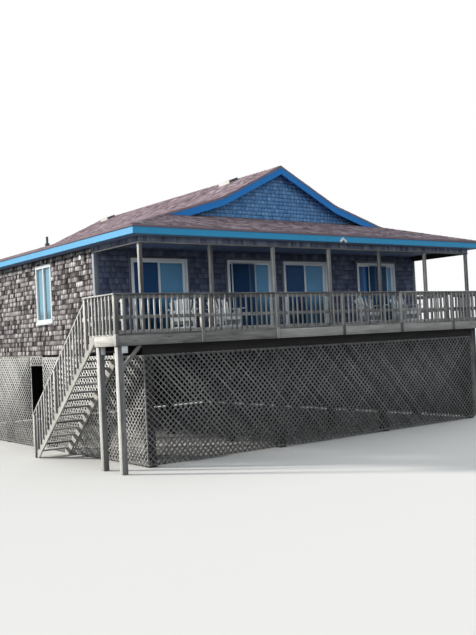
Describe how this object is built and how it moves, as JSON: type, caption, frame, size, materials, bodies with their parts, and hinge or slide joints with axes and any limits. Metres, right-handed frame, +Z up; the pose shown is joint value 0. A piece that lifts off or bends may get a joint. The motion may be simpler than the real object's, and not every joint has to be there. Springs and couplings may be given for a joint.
{
  "type": "beach house",
  "caption": "Raised wooden beach house with a deep porch, a railed deck, a side stair, sliding glass doors, lattice skirts and a two-pitch roof with gablets.",
  "frame": {"origin": "middle of the footprint's bounding box, on the ground under the piles", "axes": "+Z up, +Y from the porch towards the back of the house, +X to the right when facing the porch"},
  "size_m": [14.25, 15.985, 8.0338],
  "materials": {
    "weathered_wood": "rough weathered grey",
    "lattice_wood": "rough pale grey",
    "front_shingles": "rough dark grey",
    "wall_shakes": "rough weathered grey-brown",
    "white_vinyl": "satin white",
    "window_glass": "smooth",
    "soffit_boards": "dull dark blue",
    "blue_paint": "satin blue paint",
    "gable_shingles": "dull blue-grey",
    "roof_shingles": "rough mineral granules",
    "vent_metal": "dull",
    "dark_pipe": "dull",
    "lamp_white": "gloss white",
    "white_paint": "worn white paint"
  },
  "bodies": {
    "house": {"piles": "weathered_wood", "floor_girders": "weathered_wood", "house_floor": "weathered_wood", "landing_posts": "weathered_wood", "deck_joists": "weathered_wood", "deck_rims": "weathered_wood", "decking": "weathered_wood", "stair_stringers": "weathered_wood", "stair_treads": "weathered_wood", "stair_rail": "weathered_wood", "front_rail": "weathered_wood", "side_rails": "weathered_wood", "rail_posts": "weathered_wood", "rail_caps": "weathered_wood", "front_lattice": "lattice_wood", "left_lattice_front": "lattice_wood", "left_lattice_rear": "lattice_wood", "right_lattice": "lattice_wood", "rear_lattice": "lattice_wood", "porch_posts": "weathered_wood", "porch_header": "weathered_wood", "wall_piers": "front_shingles", "wall_lintel": "front_shingles", "left_wall": "wall_shakes", "right_wall": "wall_shakes", "rear_wall": "wall_shakes", "window_frames": "white_vinyl", "window_glass": "window_glass", "door_frames": "white_vinyl", "fixed_sashes": "white_vinyl", "fixed_glass": "window_glass", "ceiling": "soffit_boards", "fascia_boards": "blue_paint", "roof_left": "roof_shingles", "roof_right": "roof_shingles", "roof_front": "roof_shingles", "roof_rear": "roof_shingles", "gable_walls": "gable_shingles", "barge_boards": "blue_paint", "roof_vents": "vent_metal", "vent_pipe": "dark_pipe", "porch_lamps": "lamp_white", "porch_chairs": "white_paint"},
    "door_1": {"door_1_sash": "white_vinyl", "door_1_glass": "window_glass"},
    "door_2": {"door_2_sash": "white_vinyl", "door_2_glass": "window_glass"},
    "door_3": {"door_3_sash": "white_vinyl", "door_3_glass": "window_glass"},
    "door_4": {"door_4_sash": "white_vinyl", "door_4_glass": "window_glass"}
  },
  "joints": [
    {"name": "door_1_slide", "type": "slide", "parent": "house", "child": "door_1", "axis": [-1, 0, 0], "range_m": [0, 0.815]},
    {"name": "door_2_slide", "type": "slide", "parent": "house", "child": "door_2", "axis": [-1, 0, 0], "range_m": [0, 0.765]},
    {"name": "door_3_slide", "type": "slide", "parent": "house", "child": "door_3", "axis": [-1, 0, 0], "range_m": [0, 0.815]},
    {"name": "door_4_slide", "type": "slide", "parent": "house", "child": "door_4", "axis": [-1, 0, 0], "range_m": [0, 0.815]}
  ]
}
